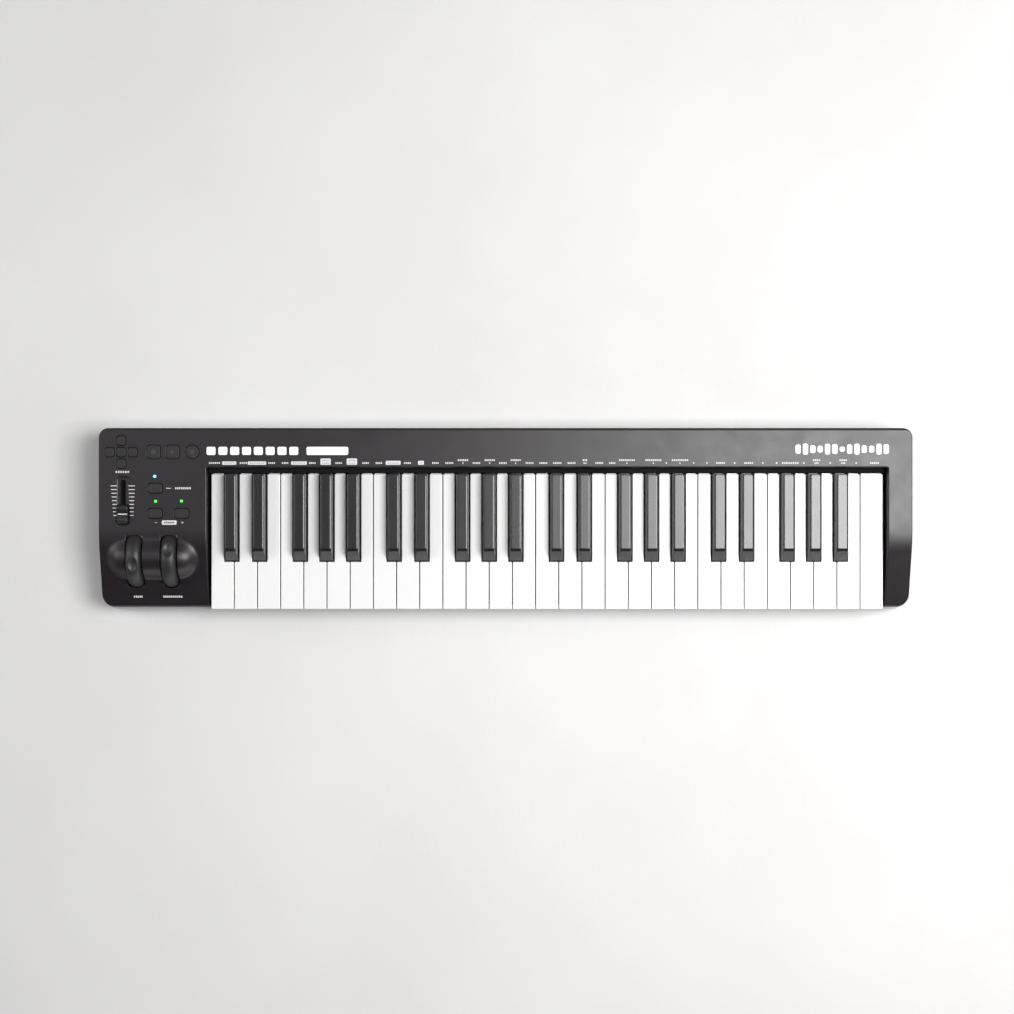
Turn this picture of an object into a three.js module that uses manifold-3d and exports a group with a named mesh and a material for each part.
// A 49-key keyboard controller, built as an assembly of 60 separate pieces.
// Millimetres. +Z is up, +X runs to the treble end, -Y faces the player.
// The origin is on the surface that the feet stand on, under the middle of the case.
import * as THREE from "three";
import { mergeVertices } from "three/addons/utils/BufferGeometryUtils.js";
import Module from "manifold-3d";

const wasm = await Module();
wasm.setup();

// ---------------------------------------------------------------- driving dimensions
const WALL = 2.5; // thickness of the moulded shells
const GAP = 0.3; // clearance between pieces that touch

// Lower case
const CASE_HALF_WIDTH = 411;
const CASE_HALF_DEPTH = 92.9;
const FOOT_HEIGHT = 3;
const FOOT_RADIUS = 8;
const FLOOR_TOP = FOOT_HEIGHT + WALL;
const PARTING_Z = 22; // height of the joint line between the two cases
const RIM_WIDTH = 5.7; // ledge under the walls of the upper case
const RIM_HEIGHT = 4;

// Upper case
const PANEL_TOP = 60;
const PANEL_HALF_WIDTH = 410;
const PANEL_FRONT = -89.9;
const PANEL_REAR = 91.9;
const REAR_CORNER = 10; // corner radii seen from above
const FRONT_CORNER = 13;
const BEND_START = -9; // the flat top bends down to the front slope here
const SLOPE = THREE.MathUtils.degToRad(16);
const BEND_RADIUS = 87;
const TOP_EDGE = 3; // rounding of the rear and front edges

// Keys
const PITCH = 23.5; // one white key and its gap
const WHITE_COUNT = 29;
const KEYS_LEFT = -298.7;
const KEY_GAP = 0.9;
const KEY_FRONT = -91.3;
const KEY_REAR = 46.6; // where the visible top ends
const WHITE_TOP = 48;
const KEY_SKIN = 1.8;
const SKIRT_Z = 36; // lower edge of the side walls
const LIP_Z = 33; // lower edge of the front face
const BLACK_TOP = 60;
const BLACK_FRONT = -42.7;
const BLACK_SLOPE = 10; // length of the front slope
const BLACK_HALF = 7; // half width at the base
const BLACK_TOP_HALF = 4.6;
const NOTCH_GAP = 0.8; // between a black key and the white keys beside it
const BLACK_CENTRES = [21.1, 49.4, 90.5, 117.5, 144.5]; // from the octave's left edge
const WHITE_NOTES = ["c", "d", "e", "f", "g", "a", "b"];
const BLACK_NOTES = ["cs", "ds", "fs", "gs", "as"];
const FIRST_OCTAVE = 2;
const HINGE_Y = 76;
const HINGE_Z = 36;
const ARM_REAR = 80;
const ARM_TOP = 44;

// The opening for the keys
const BAY_LEFT = -301.3;
const BAY_RIGHT = 385.4;
const BAY_REAR = 52.1;
const BAY_LIP_Z = 49.5; // the keys pass under the rear lip

// Wheels
const WHEEL_RADIUS = 30;
const WHEEL_HALF = 7.5;
const WHEEL_Y = -39.7;
const WHEEL_Z = 39.8;
const PITCH_WHEEL_X = -374.4;
const MOD_WHEEL_X = -339.1;
const PITCH_REST = THREE.MathUtils.degToRad(11.3); // where the dimples stand at rest,
const MOD_REST = THREE.MathUtils.degToRad(-16.9); // from straight up, towards the player
const WHEEL_CLEARANCE = 1.1;
const AXLE_RADIUS = 3;
const AXLE_HALF = 10.3;
const BEARING_NEAR = 8.8; // bearing cheeks, from the wheel's middle plane
const BEARING_FAR = 10.8;
const BEARING_RADIUS = 3.4;
const MOUND = { x: -357, y: -38, z: 40, rx: 60, ry: 23.5, rz: 25 };

// Slider
const SLIDER_X = -385.4;
const RECESS_HALF = 6.5;
const RECESS_FRONT = -6.4;
const RECESS_REAR = 42.8;
const RECESS_DEPTH = 1.2;
const RECESS_CORNER = 2.5;
const SLOT_HALF = 2.2;
const SLOT_FRONT = -1.5;
const SLOT_REAR = 39;
const CAP_Y = 4.9;
const CAP_HALF_LENGTH = 10;
const CAP_HALF_WIDTH = 5.45;
const CAP_TOP = 66;

// Buttons
const BUTTON_TOP = 61;
const BUTTON_GAP = 0.35;
const SHEET_TOP = 56.2; // the moulded sheet that joins the caps of one keypad
const SHEET_BOTTOM = 54.8;
const SHEET_MARGIN = 1.7;
const DIRECTION = { x: -387.2, y: 67.3, pitch: 11.6, size: 9.5, corner: 2 };
const TRANSPORT = { xs: [-354.4, -335.1, -315.5], y: 67.5, size: 13.7, corner: 2.2 };
const FUNCTION_SIZE = { width: 14.8, depth: 10, corner: 2.5 };
const FUNCTION_PLACES = [[-353, 31], [-353, 5.7], [-326.4, 5.7]];

// Inside
const BOARD = { x0: -400, x1: -307, y0: -4, y1: 84, z: 46, thickness: 1.6 };
const BED = { x0: -297.5, x1: 381.5, y0: -84, y1: 86, z: 8, thickness: 2.5 };
const SOCKET_Z = 38;
const USB = { x: -366, half: 4.4, frame: 6.2, depth: 13 };
const JACK = { x: -338, radius: 3.4, frame: 5.6, depth: 29 };

// ---------------------------------------------------------------- materials
const material = (color, roughness, metalness = 0) =>
  new THREE.MeshStandardMaterial({ color, roughness, metalness });
const charcoal = material(0x3a383b, 0.55);
const lightGrey = material(0xa2a4a8, 0.5);
const white = material(0xf2f2f0, 0.25);
const black = material(0x1b1a1c, 0.3);
const rubberBlack = material(0x2c2b2e, 0.6);
const keypadGrey = material(0x353336, 0.65);
const frameBlack = material(0x202022, 0.7);
const boardGreen = material(0x1e5a38, 0.45);
const socketMetal = material(0x8f9194, 0.35, 0.8);

// ---------------------------------------------------------------- solids
function solid(geometry) {
  const bare = geometry.clone();
  bare.deleteAttribute("normal");
  bare.deleteAttribute("uv");
  const merged = mergeVertices(bare, 1e-4);
  const index = merged.index.array;
  const kept = [];
  for (let i = 0; i < index.length; i += 3) {
    const [a, b, c] = [index[i], index[i + 1], index[i + 2]];
    if (a !== b && b !== c && c !== a) kept.push(a, b, c);
  }
  return new wasm.Manifold(
    new wasm.Mesh({
      numProp: 3,
      vertProperties: new Float32Array(merged.attributes.position.array),
      triVerts: new Uint32Array(kept),
    }),
  );
}

function block(x0, x1, y0, y1, z0, z1) {
  const box = new THREE.BoxGeometry(x1 - x0, y1 - y0, z1 - z0);
  box.translate((x0 + x1) / 2, (y0 + y1) / 2, (z0 + z1) / 2);
  return solid(box);
}

// A shape seen from above, extruded from z0 to z1.
function slab(shape, z0, z1, curveSegments = 5) {
  const options = { depth: z1 - z0, bevelEnabled: false, curveSegments };
  return solid(new THREE.ExtrudeGeometry(shape, options).translate(0, 0, z0));
}

// A side profile of (y, z) points, extruded along X.
function beam(points, x0, x1) {
  const shape = new THREE.Shape(points.map(([y, z]) => new THREE.Vector2(y, z)));
  const options = { depth: x1 - x0, bevelEnabled: false };
  const turned = new THREE.Matrix4().makeBasis(
    new THREE.Vector3(0, 1, 0),
    new THREE.Vector3(0, 0, 1),
    new THREE.Vector3(1, 0, 0),
  );
  const geometry = new THREE.ExtrudeGeometry(shape, options).applyMatrix4(turned);
  return solid(geometry.translate(x0, 0, 0));
}

function ellipsoid(x, y, z, rx, ry, rz, around = 20, rings = 12) {
  const ball = new THREE.SphereGeometry(1, around, rings);
  return solid(ball.scale(rx, ry, rz).translate(x, y, z));
}

// A cylinder between two ends on an axis: "x", "y" or "z".
function rod(axis, radius, low, high, u, v, sides = 12) {
  const cylinder = new THREE.CylinderGeometry(radius, radius, high - low, sides);
  const middle = (low + high) / 2;
  if (axis === "x") cylinder.rotateZ(Math.PI / 2).translate(middle, u, v);
  if (axis === "y") cylinder.translate(u, middle, v);
  if (axis === "z") cylinder.rotateX(Math.PI / 2).translate(u, v, middle);
  return solid(cylinder);
}

function roundedRectangle(x0, x1, y0, y1, front, rear = front) {
  const shape = new THREE.Shape();
  const quarter = Math.PI / 2;
  shape.absarc(x1 - front, y0 + front, front, -quarter, 0);
  shape.absarc(x1 - rear, y1 - rear, rear, 0, quarter);
  shape.absarc(x0 + rear, y1 - rear, rear, quarter, 2 * quarter);
  shape.absarc(x0 + front, y0 + front, front, 2 * quarter, 3 * quarter);
  return shape;
}

function piece(name, made, look) {
  const data = made.getMesh();
  const geometry = new THREE.BufferGeometry();
  const positions = new Float32Array(data.vertProperties);
  geometry.setAttribute("position", new THREE.BufferAttribute(positions, 3));
  geometry.setIndex(new THREE.BufferAttribute(new Uint32Array(data.triVerts), 1));
  geometry.computeVertexNormals();
  const mesh = new THREE.Mesh(geometry, look);
  mesh.name = name;
  return mesh;
}

// ---------------------------------------------------------------- lower case
function caseOutline(inset) {
  const x = CASE_HALF_WIDTH - inset;
  const y = CASE_HALF_DEPTH - inset;
  return roundedRectangle(-x, x, -y, y, FRONT_CORNER + 1 - inset / 2, REAR_CORNER + 1 - inset / 2);
}

function lowerCase() {
  const belly = 4; // the bottom edge turns in by this much
  const options = {
    depth: 4,
    bevelThickness: belly,
    bevelSize: belly,
    bevelOffset: -belly,
    bevelSegments: 2,
    curveSegments: 5,
  };
  const rounded = new THREE.ExtrudeGeometry(caseOutline(0), options);
  rounded.translate(0, 0, FOOT_HEIGHT + belly);
  let tray = solid(rounded).add(slab(caseOutline(0), FOOT_HEIGHT + belly, PARTING_Z));
  tray = tray.subtract(slab(caseOutline(belly + 1), FLOOR_TOP, PARTING_Z - RIM_HEIGHT));
  tray = tray.subtract(slab(caseOutline(RIM_WIDTH), FLOOR_TOP, PARTING_Z + 1));
  for (const x of [-375, 0, 375]) {
    for (const y of [-70, 70]) {
      tray = tray.add(rod("z", FOOT_RADIUS, 0, FOOT_HEIGHT + 1, x, y, 16));
    }
  }
  // Bosses that carry the keybed frame.
  for (const x of [-280, -60, 160, 365]) {
    for (const y of [-76, 60]) {
      tray = tray.add(rod("z", 5, FLOOR_TOP - 1, BED.z - GAP, x, y, 8));
    }
  }
  return piece("lower_case", tray, lightGrey);
}

// ---------------------------------------------------------------- upper case
// The side profile of the panel's top, set down and in by an inset.
function panelProfile(inset) {
  const rear = PANEL_REAR - inset;
  const front = PANEL_FRONT + inset;
  const top = PANEL_TOP - inset;
  const edge = TOP_EDGE - inset / 2;
  const points = [[rear, 0]];
  for (let i = 0; i <= 3; i += 1) {
    const turn = (i / 3) * (Math.PI / 2);
    points.push([rear - edge + edge * Math.cos(turn), top - edge + edge * Math.sin(turn)]);
  }
  for (let i = 0; i <= 5; i += 1) {
    const turn = (i / 5) * SLOPE;
    const radius = BEND_RADIUS - inset;
    points.push([BEND_START - radius * Math.sin(turn), top - radius * (1 - Math.cos(turn))]);
  }
  const [bendY, bendZ] = points[points.length - 1];
  const slopeEnd = front + edge / 2;
  const slopeZ = bendZ - (bendY - slopeEnd) * Math.tan(SLOPE);
  points.push([slopeEnd, slopeZ], [front, slopeZ - edge / 2], [front, 0]);
  return points;
}

function panelOutline(inset) {
  const x = PANEL_HALF_WIDTH - inset;
  const [y0, y1] = [PANEL_FRONT + inset, PANEL_REAR - inset];
  return roundedRectangle(-x, x, y0, y1, FRONT_CORNER - inset / 2, REAR_CORNER - inset / 2);
}

function panelBody(inset, low) {
  const top = beam(panelProfile(inset), -PANEL_HALF_WIDTH, PANEL_HALF_WIDTH);
  const mound = ellipsoid(
    MOUND.x, MOUND.y, MOUND.z,
    MOUND.rx - inset, MOUND.ry - inset, MOUND.rz - inset,
    28, 16,
  );
  return top.add(mound).intersect(slab(panelOutline(inset), low, PANEL_TOP + 20));
}

function bearingCheeks(wheelX) {
  const [y0, y1, z0, z1] = [WHEEL_Y - 6, WHEEL_Y + 6, WHEEL_Z - 7, MOUND.z + MOUND.rz];
  let cheeks = block(wheelX - BEARING_FAR, wheelX - BEARING_NEAR, y0, y1, z0, z1);
  cheeks = cheeks.add(block(wheelX + BEARING_NEAR, wheelX + BEARING_FAR, y0, y1, z0, z1));
  const reach = BEARING_FAR + 1;
  return cheeks.subtract(
    rod("x", BEARING_RADIUS, wheelX - reach, wheelX + reach, WHEEL_Y, WHEEL_Z),
  );
}

function wheelSlot(wheelX) {
  const half = WHEEL_HALF + WHEEL_CLEARANCE;
  const radius = WHEEL_RADIUS + WHEEL_CLEARANCE;
  return rod("x", radius, wheelX - half, wheelX + half, WHEEL_Y, WHEEL_Z, 32);
}

function buttonPlaces() {
  const d = DIRECTION;
  const directions = [[0, 0], [1, 0], [-1, 0], [0, 1], [0, -1]].map(([i, j]) => [
    d.x + i * d.pitch,
    d.y + j * d.pitch,
  ]);
  return { directions, transport: TRANSPORT.xs.map((x) => [x, TRANSPORT.y]) };
}

function capShape([x, y], width, depth, corner, grow) {
  const [w, d] = [width / 2 + grow, depth / 2 + grow];
  return roundedRectangle(x - w, x + w, y - d, y + d, corner + grow);
}

// The caps of one keypad, or their windows when grow is above 0.
function directionCaps(z0, z1, grow) {
  const { size, corner } = DIRECTION;
  return buttonPlaces().directions.map((place) =>
    slab(capShape(place, size, size, corner, grow), z0, z1, 2),
  );
}

function transportCaps(z0, z1, grow) {
  const { size, corner } = TRANSPORT;
  const [stop, play, record] = buttonPlaces().transport;
  const square = [stop, play].map((place) =>
    slab(capShape(place, size, size, corner, grow), z0, z1, 2),
  );
  return [...square, rod("z", size / 2 + grow, z0, z1, record[0], record[1], 20)];
}

function functionCaps(z0, z1, grow) {
  const { width, depth, corner } = FUNCTION_SIZE;
  return FUNCTION_PLACES.map((place) =>
    slab(capShape(place, width, depth, corner, grow), z0, z1, 2),
  );
}

function upperCase() {
  const low = PARTING_Z + GAP;
  const inside = panelBody(WALL, 0);
  const reach = PANEL_HALF_WIDTH + 1;
  const chambers = block(-reach, BAY_LEFT - WALL, -100, 100, 0, 90)
    .add(block(BAY_RIGHT + WALL, reach, -100, 100, 0, 90))
    .add(block(-reach, reach, BAY_REAR + WALL, 100, 0, 90));
  let shell = panelBody(0, low).subtract(inside.intersect(chambers));
  shell = shell.subtract(block(BAY_LEFT, BAY_RIGHT, -100, BAY_REAR, 0, 90));
  shell = shell.subtract(block(BAY_LEFT, BAY_RIGHT, BAY_REAR - 1, BAY_REAR + 4, 0, BAY_LIP_Z));
  const solidPanel = panelBody(1, low);
  for (const x of [PITCH_WHEEL_X, MOD_WHEEL_X]) {
    shell = shell.add(bearingCheeks(x).intersect(solidPanel));
  }
  for (const x of [PITCH_WHEEL_X, MOD_WHEEL_X]) shell = shell.subtract(wheelSlot(x));
  const windows = [
    ...directionCaps(50, 70, BUTTON_GAP),
    ...transportCaps(50, 70, BUTTON_GAP),
    ...functionCaps(50, 70, BUTTON_GAP),
    slab(
      roundedRectangle(
        SLIDER_X - RECESS_HALF, SLIDER_X + RECESS_HALF, RECESS_FRONT, RECESS_REAR,
        RECESS_CORNER,
      ),
      PANEL_TOP - RECESS_DEPTH,
      70,
      3,
    ),
    block(SLIDER_X - SLOT_HALF, SLIDER_X + SLOT_HALF, SLOT_FRONT, SLOT_REAR, 50, 70),
    block(
      USB.x - USB.frame - GAP, USB.x + USB.frame + GAP,
      80, 100,
      SOCKET_Z - USB.frame - GAP, SOCKET_Z + USB.frame + GAP,
    ),
    rod("y", JACK.frame + GAP, 80, 100, JACK.x, SOCKET_Z, 16),
  ];
  for (const window of windows) shell = shell.subtract(window);
  return piece("upper_case", shell, charcoal);
}

// ---------------------------------------------------------------- keys
// Keys are modelled about their hinge: y and z are measured from its axis.
const y = (value) => value - HINGE_Y;
const z = (value) => value - HINGE_Z;

// The outline of a white key from above. A notch is the x up to which a black key cuts in.
function whiteOutline(leftNotch, rightNotch, inset, rear) {
  const [left, right] = [KEY_GAP / 2 + inset, PITCH - KEY_GAP / 2 - inset];
  const shoulder = y(BLACK_FRONT - NOTCH_GAP) - inset;
  const tailLeft = leftNotch === null ? left : leftNotch + inset;
  const tailRight = rightNotch === null ? right : rightNotch - inset;
  const front = y(KEY_FRONT) + inset;
  const shape = new THREE.Shape();
  shape.moveTo(left, front);
  shape.lineTo(right, front);
  if (rightNotch !== null) shape.lineTo(right, shoulder);
  if (rightNotch !== null) shape.lineTo(tailRight, shoulder);
  shape.lineTo(tailRight, rear);
  shape.lineTo(tailLeft, rear);
  if (leftNotch !== null) shape.lineTo(tailLeft, shoulder);
  if (leftNotch !== null) shape.lineTo(left, shoulder);
  return { shape, tailLeft, tailRight };
}

function whiteKey(name, x, leftNotch, rightNotch) {
  const outer = whiteOutline(leftNotch, rightNotch, 0, y(KEY_REAR));
  const inner = whiteOutline(leftNotch, rightNotch, KEY_SKIN, y(KEY_REAR) - 4);
  const [armLeft, armRight] = [outer.tailLeft + 1, outer.tailRight - 1];
  let key = slab(outer.shape, z(SKIRT_Z), z(WHITE_TOP));
  const [left, right] = [KEY_GAP / 2, PITCH - KEY_GAP / 2];
  key = key.add(block(left, right, y(KEY_FRONT), y(KEY_FRONT) + 3, z(LIP_Z), z(WHITE_TOP) - 1));
  key = key.add(block(armLeft, armRight, y(KEY_REAR) - 2, y(ARM_REAR), z(SKIRT_Z), z(ARM_TOP)));
  key = key.subtract(slab(inner.shape, z(LIP_Z) - 1, z(WHITE_TOP) - KEY_SKIN - 0.4));
  const made = piece(name, key, white);
  made.position.set(x, HINGE_Y, HINGE_Z);
  return made;
}

// A box whose sides lean in towards its top and whose front slopes back.
function taperedBlock(half, topHalf, y0, y1, slope, z0, z1) {
  const box = new THREE.BoxGeometry(2 * half, y1 - y0, z1 - z0);
  box.translate(0, (y0 + y1) / 2, (z0 + z1) / 2);
  const corners = box.attributes.position;
  for (let i = 0; i < corners.count; i += 1) {
    if (corners.getZ(i) > (z0 + z1) / 2) {
      corners.setX(i, Math.sign(corners.getX(i)) * topHalf);
      if (corners.getY(i) < (y0 + y1) / 2) corners.setY(i, y0 + slope);
    }
  }
  return solid(box);
}

function blackKey(name, x) {
  const waist = z(WHITE_TOP - 1);
  const [front, rear] = [y(BLACK_FRONT), y(KEY_REAR)];
  const foot = block(-BLACK_HALF, BLACK_HALF, front, rear, z(SKIRT_Z), waist);
  const head = taperedBlock(
    BLACK_HALF, BLACK_TOP_HALF, front, rear, BLACK_SLOPE, waist, z(BLACK_TOP),
  );
  const armHalf = BLACK_HALF - 2;
  const arm = block(-armHalf, armHalf, rear - 2, y(ARM_REAR), z(SKIRT_Z), z(ARM_TOP));
  const pocket = taperedBlock(
    BLACK_HALF - KEY_SKIN, BLACK_TOP_HALF - KEY_SKIN,
    front + 2, rear - 4, BLACK_SLOPE,
    z(SKIRT_Z) - 1, z(BLACK_TOP) - KEY_SKIN - 0.4,
  );
  const key = foot.add(head).add(arm).subtract(pocket);
  const made = piece(name, key, black);
  made.position.set(x, HINGE_Y, HINGE_Z);
  return made;
}

// A black key stands over the edge between two white keys, and each of the two is notched for it.
function keyboard() {
  const keys = new THREE.Group();
  const reach = BLACK_HALF + NOTCH_GAP;
  for (let i = 0; i < WHITE_COUNT; i += 1) {
    const step = i % 7;
    const octave = FIRST_OCTAVE + Math.floor(i / 7);
    const left = step * PITCH;
    const last = i === WHITE_COUNT - 1;
    const over = (edge) => BLACK_CENTRES.find((centre) => Math.abs(centre - edge) < BLACK_HALF);
    const atLeft = over(left);
    const atRight = last ? undefined : over(left + PITCH);
    const leftNotch = atLeft === undefined ? null : atLeft + reach - left;
    const rightNotch = atRight === undefined ? null : atRight - reach - left;
    const x = KEYS_LEFT + i * PITCH;
    keys.add(whiteKey(`white_key_${WHITE_NOTES[step]}${octave}`, x, leftNotch, rightNotch));
    if (atRight !== undefined) {
      const note = BLACK_NOTES[BLACK_CENTRES.indexOf(atRight)];
      keys.add(blackKey(`black_key_${note}${octave}`, x - left + atRight));
    }
  }
  return keys;
}

// ---------------------------------------------------------------- keybed frame
function keybedFrame() {
  const floor = BED.z + BED.thickness;
  let frame = block(BED.x0, BED.x1, BED.y0, BED.y1, BED.z, floor);
  const rails = [
    [-80, -77.5, 18], [-62, -59.5, 16], [-12, -9.5, 16], [40, 42.5, 18],
  ];
  for (const [y0, y1, top] of rails) {
    frame = frame.add(block(BED.x0, BED.x1, y0, y1, floor - 1, top));
  }
  // The hinge rail: a hollow ridge that the key arms rock on.
  const ridge = [
    [HINGE_Y - 8, floor - 1], [HINGE_Y - 5, 33], [HINGE_Y - 1.5, HINGE_Z - GAP],
    [HINGE_Y + 1.5, HINGE_Z - GAP], [HINGE_Y + 4, 33], [HINGE_Y + 4, floor - 1],
    [HINGE_Y + 1.5, floor - 1], [HINGE_Y + 1.5, 31], [HINGE_Y - 2.5, 31],
    [HINGE_Y - 5.5, floor - 1],
  ];
  frame = frame.add(beam(ridge, BED.x0, BED.x1));
  // One guide post stands in the hollow of every key.
  const [whitePost, blackPost] = [{ half: 3.5, y: -72 }, { half: 2, y: -20 }];
  for (let i = 0; i < WHITE_COUNT; i += 1) {
    const x = KEYS_LEFT + (i + 0.5) * PITCH;
    const { half, y: postY } = whitePost;
    frame = frame.add(block(x - half, x + half, postY - 2.5, postY + 2.5, floor - 1, 34));
  }
  for (let octave = 0; octave < 4; octave += 1) {
    for (const centre of BLACK_CENTRES) {
      const x = KEYS_LEFT + octave * 7 * PITCH + centre;
      const { half, y: postY } = blackPost;
      frame = frame.add(block(x - half, x + half, postY - 2.5, postY + 2.5, floor - 1, 45));
    }
  }
  return piece("keybed_frame", frame, frameBlack);
}

// ---------------------------------------------------------------- controls
// A wheel on its axle, with a finger dimple at the top of its tread.
function wheel(name, x, rest) {
  const half = [
    [0, AXLE_HALF], [AXLE_RADIUS, AXLE_HALF], [AXLE_RADIUS, WHEEL_HALF],
    [WHEEL_RADIUS - 3.6, WHEEL_HALF], [WHEEL_RADIUS - 0.9, WHEEL_HALF - 2.4],
  ];
  const profile = [
    ...half.map(([r, side]) => new THREE.Vector2(r, -side)),
    new THREE.Vector2(WHEEL_RADIUS, 0),
    ...half.reverse().map(([r, side]) => new THREE.Vector2(r, side)),
  ];
  const disc = new THREE.LatheGeometry(profile, 30).rotateZ(-Math.PI / 2);
  const dimple = ellipsoid(0, 0, WHEEL_RADIUS + 1.6, 5.6, 8.5, 4.4, 14, 10);
  const made = piece(name, solid(disc).subtract(dimple), rubberBlack);
  made.position.set(x, WHEEL_Y, WHEEL_Z);
  made.rotation.x = rest;
  return made;
}

function volumeSlider() {
  const foot = PANEL_TOP - RECESS_DEPTH + GAP;
  const cap = beam(
    [
      [-CAP_HALF_LENGTH, foot], [CAP_HALF_LENGTH, foot], [CAP_HALF_LENGTH - 1.5, CAP_TOP - 1],
      [CAP_HALF_LENGTH - 3, CAP_TOP], [1.5, CAP_TOP - 1.8], [-1.5, CAP_TOP - 1.8],
      [3 - CAP_HALF_LENGTH, CAP_TOP], [1.5 - CAP_HALF_LENGTH, CAP_TOP - 1],
    ],
    -CAP_HALF_WIDTH, CAP_HALF_WIDTH,
  );
  const stem = block(-1.5, 1.5, -4, 4, 49, foot + 1);
  const carriage = block(-3.5, 3.5, -5, 5, 49, 53);
  const made = piece("volume_slider", cap.add(stem).add(carriage), rubberBlack);
  made.position.set(SLIDER_X, CAP_Y, 0);
  return made;
}

// Caps that stand on one moulded sheet under the panel.
function keypad(name, caps, x0, x1, y0, y1) {
  let pad = slab(roundedRectangle(x0, x1, y0, y1, 2), SHEET_BOTTOM, SHEET_TOP, 2);
  for (const cap of caps) pad = pad.add(cap);
  return piece(name, pad, keypadGrey);
}

function keypads() {
  const base = SHEET_TOP - 0.5;
  const pads = new THREE.Group();
  const { x, y: middle, pitch, size } = DIRECTION;
  const reach = pitch + size / 2 + SHEET_MARGIN;
  pads.add(
    keypad(
      "direction_buttons", directionCaps(base, BUTTON_TOP, 0),
      x - reach, x + reach, middle - reach, middle + reach,
    ),
  );
  const [firstX, , lastX] = TRANSPORT.xs;
  const half = TRANSPORT.size / 2 + SHEET_MARGIN;
  pads.add(
    keypad(
      "transport_buttons", transportCaps(base, BUTTON_TOP, 0),
      firstX - half, lastX + half, TRANSPORT.y - half, TRANSPORT.y + half,
    ),
  );
  const [advanced, , octaveUp] = FUNCTION_PLACES;
  const [w, d] = [FUNCTION_SIZE.width / 2 + SHEET_MARGIN, FUNCTION_SIZE.depth / 2 + SHEET_MARGIN];
  pads.add(
    keypad(
      "function_buttons", functionCaps(base, BUTTON_TOP, 0),
      advanced[0] - w, octaveUp[0] + w, octaveUp[1] - d, advanced[1] + d,
    ),
  );
  return pads;
}

// ---------------------------------------------------------------- electronics
function circuitBoard() {
  const { x0, x1, y0, y1, z: bottom, thickness } = BOARD;
  let board = slab(roundedRectangle(x0, x1, y0, y1, 2), bottom, bottom + thickness, 1);
  for (const x of [x0 + 4, x1 - 4]) {
    for (const holeY of [y0 + 4, y1 - 4]) {
      board = board.subtract(rod("z", 1.6, bottom - 1, bottom + 3, x, holeY, 8));
    }
  }
  return piece("circuit_board", board, boardGreen);
}

// The socket block behind the rear wall: its two mouths reach through windows in the wall.
function rearSockets() {
  const wallInside = PANEL_REAR - WALL - GAP;
  const mouth = PANEL_REAR - GAP;
  const base = SOCKET_Z - 8;
  const carrier = block(USB.x - 9, JACK.x + 9, mouth - 32, wallInside, base, base + 1.6);
  const usbBody = block(
    USB.x - USB.frame, USB.x + USB.frame,
    wallInside - 15, mouth,
    base + 1, SOCKET_Z + USB.frame,
  ).subtract(block(USB.x - 10, USB.x + 10, wallInside, 100, 0, SOCKET_Z - USB.frame));
  const jackBody = block(JACK.x - 6.5, JACK.x + 6.5, mouth - 32, wallInside, base + 1, SOCKET_Z + 6.5);
  const jackNose = rod("y", JACK.frame, wallInside - 1, mouth, JACK.x, SOCKET_Z, 16);
  const usbHole = block(
    USB.x - USB.half, USB.x + USB.half,
    mouth - USB.depth, mouth + 1,
    SOCKET_Z - USB.half, SOCKET_Z + USB.half,
  );
  const jackHole = rod("y", JACK.radius, mouth - JACK.depth, mouth + 1, JACK.x, SOCKET_Z, 12);
  const made = carrier.add(usbBody).add(jackBody).add(jackNose);
  return piece("rear_sockets", made.subtract(usbHole).subtract(jackHole), socketMetal);
}

// ---------------------------------------------------------------- the assembly
const controller = new THREE.Group();
controller.add(
  lowerCase(),
  upperCase(),
  keybedFrame(),
  circuitBoard(),
  rearSockets(),
  wheel("pitch_wheel", PITCH_WHEEL_X, PITCH_REST),
  wheel("modulation_wheel", MOD_WHEEL_X, MOD_REST),
  volumeSlider(),
  keypads(),
  keyboard(),
);

export default controller;
